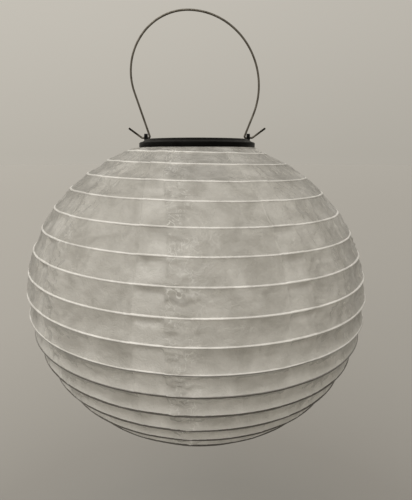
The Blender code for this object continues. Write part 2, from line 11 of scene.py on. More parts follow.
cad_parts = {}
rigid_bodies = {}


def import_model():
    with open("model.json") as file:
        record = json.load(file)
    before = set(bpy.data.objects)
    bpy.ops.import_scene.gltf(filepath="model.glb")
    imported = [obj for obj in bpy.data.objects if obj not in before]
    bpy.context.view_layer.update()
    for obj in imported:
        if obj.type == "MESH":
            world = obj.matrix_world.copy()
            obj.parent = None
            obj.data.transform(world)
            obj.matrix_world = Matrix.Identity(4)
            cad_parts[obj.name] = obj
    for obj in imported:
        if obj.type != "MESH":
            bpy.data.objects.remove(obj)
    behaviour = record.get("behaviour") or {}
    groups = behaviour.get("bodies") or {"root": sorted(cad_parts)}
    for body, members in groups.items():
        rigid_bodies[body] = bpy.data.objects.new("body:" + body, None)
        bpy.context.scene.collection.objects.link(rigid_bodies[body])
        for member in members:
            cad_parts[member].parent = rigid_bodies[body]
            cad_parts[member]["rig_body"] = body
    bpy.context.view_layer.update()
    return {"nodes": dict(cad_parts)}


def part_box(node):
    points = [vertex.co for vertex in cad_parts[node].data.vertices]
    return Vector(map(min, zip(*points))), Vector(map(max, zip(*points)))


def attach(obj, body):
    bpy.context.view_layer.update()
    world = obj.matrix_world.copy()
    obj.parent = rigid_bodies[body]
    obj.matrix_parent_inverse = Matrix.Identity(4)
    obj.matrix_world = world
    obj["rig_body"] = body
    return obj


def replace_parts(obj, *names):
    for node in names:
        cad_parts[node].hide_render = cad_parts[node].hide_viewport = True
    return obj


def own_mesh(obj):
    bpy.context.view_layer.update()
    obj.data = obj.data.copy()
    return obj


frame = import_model()

MM = 0.001

# hoops
RIB_COUNT = 18
RIB_SIDE = 1.2 * MM
END_HOOP_SIDE = 1.6 * MM
RIB_TILT = radians(1.3)
SLEEVE_RADIUS = 0.78 * MM
HEM_RADIUS = 0.8 * MM
SLEEVE_SIDES = 12
SLEEVE_FULLER_AT_SIDES = 0.3
PUCKER = 0.09
PUCKERS_PER_M = 300
PUCKER_ON_LAP = 0.05
SLEEVE_MOST_RISE = 1.06
# painted shade on the rib sleeves: how dark on the upper and lower hoops, and how much darker on each
# sleeve's underside
SLEEVE_PAINTED_SHADE_ABOVE = -0.6
SLEEVE_PAINTED_SHADE_BELOW = 1.8
SLEEVE_PAINTED_SHADE_UNDERSIDE = 0.8
WIRE_WAVER = 0.22 * MM
HOOP_WAVER = 0.12 * MM
LAP_LIFT = 0.2 * MM

# cloth between the hoops
COLUMNS = 450
ROWS = 14
LEAST_STEP = radians(0.12)
SAG_ABOVE = 0.065
SAG_BELOW = 0.23
SAG_WAVER = 0.35
UNDER_REACH = 60 * MM
UNDER_AT_MIDDLE = 0.35
PROUD_ABOVE = 0.15 * MM
PROUD_BELOW = 0.5 * MM

# lapped strips, where two gores of the cloth meet
GORES = 9
STRIP_ANGLES = tuple(radians(29) + 2 * pi * k / GORES for k in range(GORES))
STRIP_HALF_WIDTH = radians(4.2)
MOST_CRUMPLED = 8
LEAN_AT_TOP = radians(14)
LEAN_BANDS = 5
LEAN_REACH = radians(28)
STRIP_EDGE = radians(0.25)
STRIP_STEP = 0.3 * MM
DENT_DEPTH = 2.4 * MM
DENT_AT = 0.2
DENT_REACH = 0.14
FIRST_DENTED = 6

# crumpling: waves per metre, how fast they change down the cloth beside round it, and heights in mm
FOLDS_PER_M, FOLDS_DOWN = 75, 0.2
PLEATS_PER_M, PLEATS_DOWN, PLEATS_HEIGHT = 60, 0.14, 0.75
SWELLS_PER_M, SWELLS_DOWN, SWELLS_HEIGHT = 38, 0.6, 0.75
CREASES_PER_M, CREASES_DOWN = 95, 1.5
CREASES_SHARP, CREASES_ROUND = 0.7, 0.2
FINE_PER_M, FINE_HEIGHT = 210, 0.36
WARP_PER_M, WARP = 45, 0.006
# noise_vector is seeded from the clock unless it is told otherwise, and then the creases change on each run
CREASE_SEED = 1794946037
DRAWN_AT_FRONT, DRAWN_AT_SIDES = 0.45, 1.1
CRUMPLED_LEAST, CRUMPLED_MORE = 0.7, 1.9
CRUMPLED_BESIDE = radians(3.5)
CRUMPLED_REACH = radians(5)
CRUMPLED_SHOWN = 1.4
SMOOTH_ON_LAP = 0.65

# where the cloth shows whiter: LAP_WHITE is the two lapped layers' own whiteness; the blots on the strips
# are painted highlights, and the whiter edge above each low hoop is a painted highlight too
LAP_WHITE = 0.08
BLOT_HIGHLIGHT_LEAST, BLOT_HIGHLIGHT_MORE = 0.09, 0.28
BLOT_HALF_WIDTH, BLOT_REACH = 0.95, 0.24
BLOT_AT, BLOT_SHIFT = 0.55, 0.3
HEM_PAINTED_HIGHLIGHT, HEM_FROM = 0.7, 0.66

# wires' domed ends and bends
DOME_SHARE = 0.6
DOME_RISE = 0.5
BEND_STEP = radians(12)

# handle
WIRE_RADIUS = 0.9 * MM
HANDLE_SIDES = 16
LOOP_TOP_X = -7.5 * MM
LOOP_TOP_ABOVE_FLANGE = 113.9 * MM
LOOP_LEFT_RADIUS = 50.6 * MM
LOOP_RIGHT_RADIUS = 62.5 * MM
LOOP_STEP = radians(2.5)
HINGE_ABOVE_FLANGE = 8.3 * MM
LEG_FOOT_X = 42.6 * MM
TAIL_BEND_X = 50.2 * MM
TAIL_LENGTH = 14.0 * MM
TAIL_RISE = radians(36)
WIRE_BEND_RADIUS = 1.3 * MM
LOOP_FALL = LOOP_RIGHT_RADIUS - sqrt(LOOP_RIGHT_RADIUS**2 - LOOP_TOP_X**2)
LOOP_TOP_Z = WIRE_RADIUS + LOOP_FALL
FLANGE_Z = LOOP_TOP_Z - LOOP_TOP_ABOVE_FLANGE
HINGE_Z = FLANGE_Z + HINGE_ABOVE_FLANGE

# expander
LEG_X = 42.0 * MM
LEG_TOP_Z = FLANGE_Z + 1.2 * MM
EXPANDER_RADIUS = 0.9 * MM
EXPANDER_BAR_X = 53.3 * MM
EXPANDER_LEG_END = 9 * MM
EXPANDER_KNEE = 5 * MM
EXPANDER_BEND_RADIUS = 1.9 * MM
EXPANDER_SIDES = 12

# room
CAMERA_PLACE = (0.0081, -0.3898, -0.1181)
CAMERA_PITCH = radians(13.15)
CAMERA_LENS = 29.74
FLOOR_Z = -0.85
FLOOR_RADIUS = 30.0
FLOOR_PAINTED_SHADE_REACH = 0.333
RIGHT_SIDE_DARKER = 0.76


# nodes ----------------------------------------------------------------------------------------


def new_material(name):
    material = bpy.data.materials.new(name)
    material.use_nodes = True
    tree = material.node_tree
    return material, tree, tree.nodes["Principled BSDF"]


def add(tree, kind, inputs=None, **settings):
    """One node. A socket among the inputs is linked, and anything else is a value."""
    node = tree.nodes.new("ShaderNode" + kind)
    for key, value in settings.items():
        setattr(node, key, value)
    for key, value in (inputs or {}).items():
        if isinstance(value, bpy.types.NodeSocket):
            tree.links.new(value, node.inputs[key])
        else:
            node.inputs[key].default_value = value
    return node


def place(tree):
    return add(tree, "TexCoord").outputs["Object"]


def noise_of(tree, where, scale, detail=3.0, roughness=0.5, distortion=0.0):
    values = {"Vector": where, "Scale": scale, "Detail": detail, "Roughness": roughness}
    return add(tree, "TexNoise", {**values, "Distortion": distortion}).outputs["Fac"]


def ramp(tree, fac, stops):
    """A colour ramp through (position, grey or colour) stops."""
    node = add(tree, "ValToRGB", {"Fac": fac})
    elements = node.color_ramp.elements
    for index, (position, colour) in enumerate(stops):
        element = elements[index] if index < 2 else elements.new(position)
        element.position = position
        grey = isinstance(colour, (int, float))
        element.color = (colour, colour, colour, 1) if grey else (*colour, 1)
    return node.outputs["Color"]


def mix(tree, fac, a, b, blend="MIX"):
    node = add(tree, "Mix", data_type="RGBA", blend_type=blend)
    for index, value in ((0, fac), (6, a), (7, b)):
        if isinstance(value, bpy.types.NodeSocket):
            tree.links.new(value, node.inputs[index])
        elif index:
            node.inputs[index].default_value = (*value, 1)
        else:
            node.inputs[index].default_value = value
    return node.outputs[2]


def math(tree, operation, a, b=0.0, clamp=False):
    return add(tree, "Math", {0: a, 1: b}, operation=operation, use_clamp=clamp).outputs[0]


def bump(tree, height, distance, strength=1.0, normal=None):
    values = {"Height": height, "Distance": distance, "Strength": strength}
    if normal is not None:
        values["Normal"] = normal
    return add(tree, "Bump", values).outputs["Normal"]


def fill(tree, shader, **sockets):
    """Links or sets sockets of a shader, named with _ for a space."""
    for key, value in sockets.items():
        socket = shader.inputs[key.replace("_", " ")]
        if isinstance(value, bpy.types.NodeSocket):
            tree.links.new(value, socket)
        else:
            socket.default_value = (*value, 1) if isinstance(value, tuple) else value


# materials ------------------------------------------------------------------------------------


def crease_white_and_painted_glints(tree, rest, crumpled):
    """Where fine broken lines show white along the creases, all over crumpled cloth and in patches
    elsewhere: partly the whitening of creased nylon, partly painted highlights.
    """
    edges = math(tree, "SUBTRACT", noise_of(tree, rest, 125, 1.4, 0.5, 1.6), 0.5)
    lines = ramp(tree, math(tree, "ABSOLUTE", edges), ((0.008, 1), (0.04, 0)))
    broken = ramp(tree, noise_of(tree, rest, 85, 2), ((0.42, 0.1), (0.58, 1)))
    patchy = ramp(tree, noise_of(tree, rest, 34, 3), ((0.5, 0.05), (0.62, 0.3)))
    lines = math(tree, "MULTIPLY", lines, broken)
    return math(tree, "MULTIPLY", lines, math(tree, "MAXIMUM", crumpled, patchy))


def less_on_lap(tree, strip, share, lost):
    """A share of light, with this much of it lost where two layers lap."""
    left = math(tree, "MULTIPLY_ADD", strip, -lost * share)
    left.node.inputs[2].default_value = share
    return left


def let_through(tree, cloth, colour, normal, strip, through, open_weave):
    """The cloth's surface, mixed with the light it passes on and with a blurred view through it."""
    glow = add(tree, "BsdfTranslucent", {"Color": colour, "Normal": normal}).outputs[0]
    share = less_on_lap(tree, strip, through, 0.4)
    both = add(tree, "MixShader", {0: share, 1: cloth, 2: glow}).outputs[0]
    if open_weave:
        blurred = {"Color": (0.93, 0.92, 0.89, 1), "Roughness": 0.55, "IOR": 1.12}
        seen = add(tree, "BsdfRefraction", blurred).outputs[0]
        gaps = less_on_lap(tree, strip, open_weave, 1.0)
        both = add(tree, "MixShader", {0: gaps, 1: both, 2: seen}).outputs[0]
    return both


def nylon(name, dark, light, doubled, through, roughness, open_weave=0.0):
    """Thin crinkled cloth that lets some light through. doubled is its colour where two layers lap on the
    shade cloth; on the rib sleeves it is the colour of painted shade.

    open_weave is how much of what is behind the cloth shows through it, blurred.
    """
    material, tree, shader = new_material(name)
    rest = add(tree, "Attribute", attribute_name="rest").outputs["Vector"]
    strip = add(tree, "Attribute", attribute_name="strip").outputs["Fac"]
    crumpled = add(tree, "Attribute", attribute_name="crumpled").outputs["Fac"]
    patches = noise_of(tree, rest, 50, 4, 0.55, 0.7)
    colour = mix(tree, ramp(tree, patches, ((0.36, 0), (0.64, 1))), dark, light)
    colour = mix(tree, strip, colour, doubled)
    ridges = math(tree, "SUBTRACT", noise_of(tree, rest, 150, 4, 0.55, 1.8), 0.5)
    creases = math(tree, "ABSOLUTE", ridges)
    folds = noise_of(tree, rest, 330, 5, 0.62, 1.2)
    # white crease lines: partly the whitening of creased nylon, partly painted highlights
    if open_weave:
        colour = mix(tree, crease_white_and_painted_glints(tree, rest, crumpled), colour, (0.97, 0.96, 0.93))
    grain = noise_of(tree, rest, 2600, 2, 0.6)
    normal = bump(tree, creases, 1.8 * MM, 0.6)
    normal = bump(tree, folds, 0.5 * MM, 0.6, normal)
    normal = bump(tree, grain, 0.03 * MM, 0.35, normal)
    stops = ((0.35, roughness - 0.07), (0.65, roughness + 0.08))
    gloss = ramp(tree, noise_of(tree, rest, 60, 3), stops)
    fill(tree, shader, Base_Color=colour, Roughness=gloss, Normal=normal)
    fill(tree, shader, Sheen_Weight=0.3, Sheen_Roughness=0.4, Specular_IOR_Level=0.55)
    both = let_through(tree, shader.outputs[0], colour, normal, strip, through, open_weave)
    tree.links.new(both, tree.nodes["Material Output"].inputs["Surface"])
    return material


def moulded(name, colour, roughness):
    """Moulded plastic: fine spark-eroded grain, faint flow marks and dust on what faces up."""
    material, tree, shader = new_material(name)
    where = place(tree)
    flow = noise_of(tree, where, 45, 4, 0.6, 1.2)
    lighter = tuple(min(1.0, c * 1.6 + 0.002) for c in colour)
    tone = mix(tree, ramp(tree, flow, ((0.3, 0), (0.75, 1))), colour, lighter)
    up = add(tree, "SeparateXYZ", {0: add(tree, "NewGeometry").outputs["Normal"]}).outputs["Z"]
    dusty = ramp(tree, up, ((0.75, 0), (1.0, 0.03)))
    dust = math(tree, "MULTIPLY", dusty, noise_of(tree, where, 320, 5, 0.7))
    tone = mix(tree, dust, tone, (0.30, 0.285, 0.26))
    fine = noise_of(tree, where, 1980, 2, 0.5)
    scuffs = noise_of(tree, where, 130, 5, 0.65, 2.0)
    gloss = ramp(tree, scuffs, ((0.3, roughness - 0.08), (0.7, roughness + 0.1)))
    normal = bump(tree, fine, 0.05 * MM, 0.4)
    fill(tree, shader, Base_Color=tone, Roughness=gloss, Normal=normal, Specular_IOR_Level=0.04)
    return material


def metal(name, colour, roughness, tarnish, along="X"):
    """Drawn or plated metal with fine draw lines and dull patches."""
    material, tree, shader = new_material(name)
    where = place(tree)
    stretched = add(tree, "Mapping", {"Vector": where})
    stretched.inputs["Scale"].default_value = (0.12, 1, 1) if along == "X" else (1, 1, 0.12)
    lines = noise_of(tree, stretched.outputs[0], 2400, 3, 0.6)
    dull = ramp(tree, noise_of(tree, where, 170, 4, 0.6, 1.0), ((0.42, 0), (0.7, 1)))
    tone = mix(tree, dull, colour, tarnish)
    gloss = mix(tree, dull, (roughness,) * 3, (roughness + 0.2,) * 3)
    normal = bump(tree, lines, 0.03 * MM, 0.5)
    fill(tree, shader, Base_Color=tone, Roughness=gloss, Normal=normal, Metallic=1.0)
    return material


def photovoltaic():
    """Blue-black cell with fine silver fingers, two wider busbars and a mottled crystal."""
    material, tree, shader = new_material("photovoltaic_cell")
    where = place(tree)
    parts = add(tree, "SeparateXYZ", {0: where}).outputs

    def lines(axis, pitch, width):
        phase = math(tree, "FRACT", math(tree, "MULTIPLY", math(tree, "ADD", axis, 1.0), 1 / pitch))
        return math(tree, "LESS_THAN", phase, width / pitch)

    fingers = lines(parts["X"], 2.0 * MM, 0.16 * MM)
    bars = lines(parts["Y"], 18.7 * MM, 1.1 * MM)
    silver = math(tree, "MAXIMUM", fingers, bars)
    grains = add(tree, "TexVoronoi", {"Vector": where, "Scale": 210.0}).outputs["Color"]
    crystal = mix(tree, math(tree, "MULTIPLY", grains, 0.7), (0.006, 0.010, 0.030), (0.016, 0.026, 0.075))
    colour = mix(tree, silver, crystal, (0.46, 0.46, 0.45))
    fill(tree, shader, Base_Color=colour, Roughness=0.28, Specular_IOR_Level=0.6)
    fill(tree, shader, Normal=bump(tree, silver, 0.03 * MM, 0.5))
    return material


def clear(name, tint, roughness, ior, frosting):
    """Clear or frosted plastic, slightly uneven."""
    material, tree, shader = new_material(name)
    where = place(tree)
    stops = ((0.35, roughness), (0.75, roughness + frosting))
    haze = ramp(tree, noise_of(tree, where, 150, 4, 0.6), stops)
    fill(tree, shader, Base_Color=tint, Roughness=haze, IOR=ior, Transmission_Weight=1.0)
    fill(tree, shader, Normal=bump(tree, noise_of(tree, where, 90, 2), 0.05 * MM, 0.15))
    return material


def frosted():
    """Milky diffuser plastic."""
    material, tree, shader = new_material("milky_plastic")
    where = place(tree)
    stops = ((0.3, (0.78, 0.77, 0.73)), (0.7, (0.86, 0.86, 0.83)))
    clouds = ramp(tree, noise_of(tree, where, 80, 3), stops)
    fill(tree, shader, Base_Color=clouds, Roughness=0.42, Subsurface_Weight=0.3, Subsurface_Scale=0.002)
    fill(tree, shader, Normal=bump(tree, noise_of(tree, where, 1500, 2), 0.03 * MM, 0.4))
    return material


def board_mask():
    """Green solder mask over faint tracks."""
    material, tree, shader = new_material("solder_mask")
    where = place(tree)
    cells = add(tree, "TexVoronoi", {"Vector": where, "Scale": 330.0}, distance="CHEBYCHEV")
    tracks = ramp(tree, cells.outputs["Distance"], ((0.42, 0), (0.46, 1)))
    colour = mix(tree, tracks, (0.012, 0.085, 0.030), (0.030, 0.150, 0.055))
    fill(tree, shader, Base_Color=colour, Roughness=0.3, Normal=bump(tree, tracks, 0.04 * MM, 0.5))
    return material


def cell_sleeve():
    """Shrink sleeve of a rechargeable cell: plain green with a pale band near one end."""
    material, tree, shader = new_material("cell_sleeve")
    where = place(tree)
    x = add(tree, "SeparateXYZ", {0: where}).outputs["X"]
    band = ramp(tree, math(tree, "MULTIPLY", x, 40.0), ((0.38, 0), (0.40, 1)))
    tone = mix(tree, noise_of(tree, where, 60), (0.020, 0.130, 0.065), (0.030, 0.170, 0.085))
    colour = mix(tree, band, tone, (0.55, 0.56, 0.53))
    wrinkles = noise_of(tree, where, 420, 4, 0.6, 1.0)
    fill(tree, shader, Base_Color=colour, Roughness=0.33, Normal=bump(tree, wrinkles, 0.06 * MM, 0.4))
    return material


SHADE_CLOTH = nylon(
    "shade_cloth",
    dark=(0.58, 0.565, 0.53),
    light=(0.79, 0.775, 0.74),
    doubled=(0.87, 0.855, 0.82),
    through=0.40,
    roughness=0.27,
    open_weave=0.23,
)
# On the rib sleeves doubled is the colour of painted shade, laid on the lower hoops and under each sleeve.
SLEEVE_CLOTH = nylon(
    "sleeve_cloth",
    dark=(0.70, 0.685, 0.65),
    light=(0.94, 0.925, 0.89),
    doubled=(0.07, 0.063, 0.052),
    through=0.08,
    roughness=0.38,
)
BLACK_PLASTIC = moulded("black_plastic_moulded", (0.0025, 0.0023, 0.002), 0.38)
HANDLE_STEEL = metal("zinc_steel", (0.17, 0.155, 0.13), 0.42, (0.09, 0.08, 0.065), "Z")
HOOP_STEEL = metal("hoop_steel", (0.52, 0.51, 0.49), 0.32, (0.36, 0.33, 0.30))
NICKEL = metal("bright_nickel", (0.70, 0.68, 0.64), 0.18, (0.52, 0.49, 0.44))
PHOTOVOLTAIC = photovoltaic()
RESIN = clear("clear_cover_resin", (0.93, 0.95, 0.97), 0.03, 1.50, 0.05)
LENS = clear("clear_lens", (0.97, 0.97, 0.96), 0.04, 1.49, 0.04)
MILKY = frosted()
SOLDER_MASK = board_mask()
CELL_SLEEVE = cell_sleeve()


# meshes ---------------------------------------------------------------------------------------


def make_piece(name, points, faces, material):
    mesh = bpy.data.meshes.new(name)
    mesh.from_pydata([tuple(p) for p in points], [], faces)
    mesh.polygons.foreach_set("use_smooth", [True] * len(mesh.polygons))
    mesh.materials.append(material)
    mesh.update()
    piece = bpy.data.objects.new(name, mesh)
    bpy.context.scene.collection.objects.link(piece)
    return piece


def keep_rest(piece, strip, crumpled):
    """Stores each vertex's place at rest, its strip value and how crumpled it is, for the cloth's material.
    On the shade cloth strip is how doubled it is plus painted highlights; on the sleeves it is painted
    shade.
    """
    mesh = piece.data
    co = np.zeros(len(mesh.vertices) * 3, np.float32)
    mesh.vertices.foreach_get("co", co)
    mesh.attributes.new("rest", "FLOAT_VECTOR", "POINT").data.foreach_set("vector", co)
    mesh.attributes.new("strip", "FLOAT", "POINT").data.foreach_set("value", strip)
    mesh.attributes.new("crumpled", "FLOAT", "POINT").data.foreach_set("value", crumpled)


def grid_faces(columns, rows, closed_columns, closed_rows=False):
    """Quads of a grid whose vertices run down each column in turn."""
    faces = []
    for c in range(columns if closed_columns else columns - 1):
        for r in range(rows if closed_rows else rows - 1):
            c2, r2 = (c + 1) % columns, (r + 1) % rows
            faces.append((c * rows + r, c2 * rows + r, c2 * rows + r2, c * rows + r2))
    return faces


def tube(path, radius, sides):
    """Points and faces of a tube along a path in the XZ plane, with domed ends."""
    points = []
    last = len(path) - 1
    normal = Vector((0, 1, 0))
    for index, p in enumerate(path):
        before = path[index - 1] if index else p
        after = path[index + 1] if index < last else p
        side = (after - before).normalized().cross(normal)
        for k in range(sides):
            angle = 2 * pi * k / sides
            points.append(p + (side * cos(angle) + normal * sin(angle)) * radius)
    faces = grid_faces(len(path), sides, False, True)
    for index, step, ring in ((0, -1, 0), (last, 1, last * sides)):
        end = path[index]
        tip = (end - path[index - step]).normalized() * radius
        points += [end + (points[ring + k] - end) * DOME_SHARE + tip * DOME_RISE for k in range(sides)]
        start = len(points) - sides
        for k in range(sides):
            k2 = (k + 1) % sides
            quad = (ring + k, ring + k2, start + k2, start + k)
            faces.append(quad if step > 0 else quad[::-1])
        cap = tuple(range(start, start + sides))
        faces.append(cap if step > 0 else cap[::-1])
    return points, faces


def rounded(corners, radius):
    """A line through corners, with each inner corner turned into an arc."""
    line = [corners[0]]
    for before, corner, after in zip(corners, corners[1:], corners[2:]):
        a, b = (before - corner).normalized(), (after - corner).normalized()
        half = acos(max(-1.0, min(1.0, a.dot(b)))) / 2
        centre = corner + (a + b).normalized() * (radius / sin(half))
        start = corner + a * (radius / tan(half)) - centre
        end = corner + b * (radius / tan(half)) - centre
        turn = pi - 2 * half
        count = max(2, round(turn / BEND_STEP))
        for k in range(count + 1):
            share = k / count
            spread = (sin((1 - share) * turn) * start + sin(share * turn) * end) / sin(turn)
            line.append(centre + spread)
    return line + [corners[-1]]


def polished(node, material, width):
    """A CAD solid again with welded faces, edges rounded to width and smooth rounds."""
    cad = frame["nodes"][node]
    bm = bmesh.new()
    bm.from_mesh(cad.data)
    bmesh.ops.remove_doubles(bm, verts=bm.verts, dist=1e-6)
    bmesh.ops.dissolve_limit(bm, angle_limit=radians(0.5), verts=bm.verts, edges=bm.edges)
    mesh = bpy.data.meshes.new(node + "_finished")
    for face in bm.faces:
        face.smooth = True
        face.material_index = 0
    bm.to_mesh(mesh)
    bm.free()
    mesh.materials.append(material)
    piece = bpy.data.objects.new(node + "_finished", mesh)
    bpy.context.scene.collection.objects.link(piece)
    bevel = piece.modifiers.new("edges", "BEVEL")
    bevel.width = width
    bevel.segments = 2
    bevel.limit_method = "ANGLE"
    bevel.angle_limit = radians(32)
    bevel.harden_normals = True
    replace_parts(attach(piece, cad["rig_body"]), node)


# shade ----------------------------------------------------------------------------------------


def hoop_circles():
    """(radius, z, slope) of each hoop from the top one to the bottom one, read from the frame."""
    names = ["top_hoop"] + [f"rib_hoop_{k:02d}" for k in range(1, RIB_COUNT + 1)] + ["bottom_hoop"]
    circles = []
    for name in names:
        end = name in ("top_hoop", "bottom_hoop")
        low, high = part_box(name)
        radius = (high.y - low.y) / 2 - (END_HOOP_SIDE if end else RIB_SIDE) / 2
        circles.append((radius, (low.z + high.z) / 2, 0.0 if end else tan(RIB_TILT)))
    return circles


def from_strip(angle):
    """How far an angle is from the nearest lapped strip's middle, signed."""
    gaps = [(angle - strip + pi) % (2 * pi) - pi for strip in STRIP_ANGLES]
    return min(gaps, key=abs)


def doubled(angle):
    return min(1.0, max(0.0, (STRIP_HALF_WIDTH - abs(from_strip(angle))) / STRIP_EDGE + 0.5))


def shade_angles():
    """Even steps, and close pairs where a lapped strip begins and ends."""
    angles = [2 * pi * k / COLUMNS for k in range(COLUMNS)]
    for strip in STRIP_ANGLES:
        for edge in (strip - STRIP_HALF_WIDTH, strip + STRIP_HALF_WIDTH):
            angles += [(edge + side * STRIP_EDGE) % (2 * pi) for side in (-1.6, -0.5, 0.5, 1.6)]
    angles.sort()
    kept = angles[:1]
    for angle in angles[1:]:
        if angle - kept[-1] > LEAST_STEP:
            kept.append(angle)
    return kept


def round_noise(angle, waves, level):
    """Noise that joins up round a hoop. Each level is another pattern."""
    return noise.noise(Vector((sin(angle) * waves, cos(angle) * waves, level)))


def leaning(angle, index):
    """Where a line down the cloth crosses a hoop: the most crumpled strip leans outwards near the top."""
    gap = (angle - STRIP_ANGLES[MOST_CRUMPLED] + pi) % (2 * pi) - pi
    near = float(np.exp(-((gap / LEAN_REACH) ** 2)))
    above = min(1.0, max(0.0, 1 - (index - 1) / LEAN_BANDS))
    return angle - LEAN_AT_TOP * near * above**1.6


def on_hoop(circle, angle, index):
    """A point on a hoop's centre line, with the small waver of wire in cloth."""
    radius, z, slope = circle
    turned = leaning(angle, index)
    x, y = radius * sin(turned), -radius * cos(turned)
    waver = WIRE_WAVER * round_noise(angle, 2.2, 5.0)
    waver += HOOP_WAVER * round_noise(angle, 4, index * 1.7)
    waver += LAP_LIFT * doubled(angle)
    return Vector((x, y, z - x * slope + (waver if slope else 0.0)))


def crinkle(angle, along, radius, rough):
    """Height of the folds at a point of the cloth, along being the length down it from the top."""
    round_it = Vector((radius * sin(angle), radius * cos(angle), 0))

    def at(down, shift=0.0):
        return round_it + Vector((0, 0, along * down + shift))

    folds = noise.noise(at(FOLDS_DOWN) * FOLDS_PER_M)
    pleats = max(0.0, 1 - 5 * abs(noise.noise(at(PLEATS_DOWN, 9) * PLEATS_PER_M))) ** 2
    swells = noise.noise(at(SWELLS_DOWN, 3) * SWELLS_PER_M)
    p = at(CREASES_DOWN)
    warp = noise.noise_vector(p * WARP_PER_M) * WARP
    creases = 1 - 2 * abs(noise.noise((p + warp) * CREASES_PER_M))
    fine = 1 - 2 * abs(noise.noise((p + warp * 2) * FINE_PER_M + Vector((7, 3, 1))))
    drawn = DRAWN_AT_FRONT + DRAWN_AT_SIDES * abs(sin(angle)) ** 3
    sharp = max(0.0, creases) ** 3
    crumple = (sharp * CREASES_SHARP + creases * CREASES_ROUND + fine * FINE_HEIGHT) * rough
    return ((folds + PLEATS_HEIGHT * pleats) * drawn + swells * SWELLS_HEIGHT + crumple) * MM


def roughness_at(angle):
    """The cloth is smooth where it is lapped and most crumpled just beside that."""
    gap = from_strip(angle)
    which = min(range(GORES), key=lambda k: abs((angle - STRIP_ANGLES[k] + pi) % (2 * pi) - pi))
    share = 1.0 if which == MOST_CRUMPLED else 0.25 + 0.4 * (which % 3) / 2
    beside = (gap - STRIP_HALF_WIDTH - CRUMPLED_BESIDE) / CRUMPLED_REACH
    rough = CRUMPLED_LEAST + CRUMPLED_MORE * share * np.exp(-(beside**2))
    return rough * (1 - SMOOTH_ON_LAP * doubled(angle))


def lap_white_and_painted_highlights(angle, t, index, under):
    """How white the cloth shows: whiter where it laps, a soft blot in each band as a painted highlight, and
    a painted highlight just above each hoop on the lower half.
    """
    gap = from_strip(angle) / STRIP_HALF_WIDTH
    which = round((angle - gap * STRIP_HALF_WIDTH) / (2 * pi / GORES))
    chance = noise.cell(Vector((which * 3.1 + 0.5, index * 1.7 + 0.5, 0.5)))
    height = BLOT_AT + BLOT_SHIFT * noise.cell(Vector((index * 2.3 + 0.5, which * 1.3 + 0.5, 4.5)))
    near = np.exp(-((gap / BLOT_HALF_WIDTH) ** 4) - abs((t - height) / BLOT_REACH) ** 3)
    painted_blot_highlight = float(near * (BLOT_HIGHLIGHT_LEAST + BLOT_HIGHLIGHT_MORE * abs(chance)))
    # painted highlight: whiter just above each hoop, only on the lower half of the shade
    painted_hem_highlight = under * HEM_PAINTED_HIGHLIGHT * max(0.0, (t - HEM_FROM) / (1 - HEM_FROM)) ** 1.5
    lapped = doubled(angle)
    return min(1.0, lapped * LAP_WHITE + painted_blot_highlight * (0.3 + 0.7 * lapped) + painted_hem_highlight)


def dent_depth(angle, index):
    """How far a lapped strip falls in just below the hoop above it, from the middle of the shade down."""
    across = max(0.0, 1 - (from_strip(angle) / STRIP_HALF_WIDTH) ** 4)
    return DENT_DEPTH * across * min(1.0, max(0.0, (index - FIRST_DENTED + 1) / 2))


def turned_under(z, circles):
    """From 0 on the upper half to 1 on the lower half, where the cloth faces down."""
    middle = (circles[0][1] + circles[-1][1]) / 2
    return min(1.0, max(0.0, (middle - z) / UNDER_REACH + UNDER_AT_MIDDLE))


def between(low, high, share):
    return low + (high - low) * share


def band(index, circles, angles, travelled):
    """The cloth between hoop index - 1 and hoop index."""
    upper, lower = circles[index - 1], circles[index]
    radius = (upper[0] + lower[0]) / 2
    under = turned_under(upper[1], circles), turned_under(lower[1], circles)
    lift, drop = (between(PROUD_ABOVE, PROUD_BELOW, share) for share in under)
    points, strip, crumpled = [], [], []
    for angle in angles:
        a, b = on_hoop(upper, angle, index - 1), on_hoop(lower, angle, index)
        chord = b - a
        flat = Vector((a.x + b.x, a.y + b.y, 0)).normalized()
        outward = Vector((0, 0, 1)) * chord.dot(flat) - flat * chord.z
        outward.normalize()
        lapped, rough = doubled(angle), roughness_at(angle)
        crumpled += [min(1.0, max(0.0, (rough - CRUMPLED_LEAST) / CRUMPLED_SHOWN))] * (ROWS + 1)
        hollow = dent_depth(angle, index)
        waver = round_noise(angle, 5, index * 2.3)
        sag = between(SAG_ABOVE, SAG_BELOW, under[1]) * chord.length * (1 + SAG_WAVER * waver)
        for row in range(ROWS + 1):
            t = row / ROWS
            hold = 4 * t * (1 - t)
            height = crinkle(angle, travelled + chord.length * t, radius, rough) * hold ** 0.6
            height += STRIP_STEP * lapped * min(1.0, hold * 3) - sag * hold + lift + (drop - lift) * t
            height -= hollow * float(np.exp(-(((t - DENT_AT) / DENT_REACH) ** 2)))
            points.append(a + chord * t + outward * height)
            strip.append(lap_white_and_painted_highlights(angle, t, index, under[1]))
    faces = grid_faces(len(angles), ROWS + 1, True)
    piece = make_piece(f"cloth_band_{index:02d}", points, faces, SHADE_CLOTH)
    keep_rest(piece, strip, crumpled)
    return piece


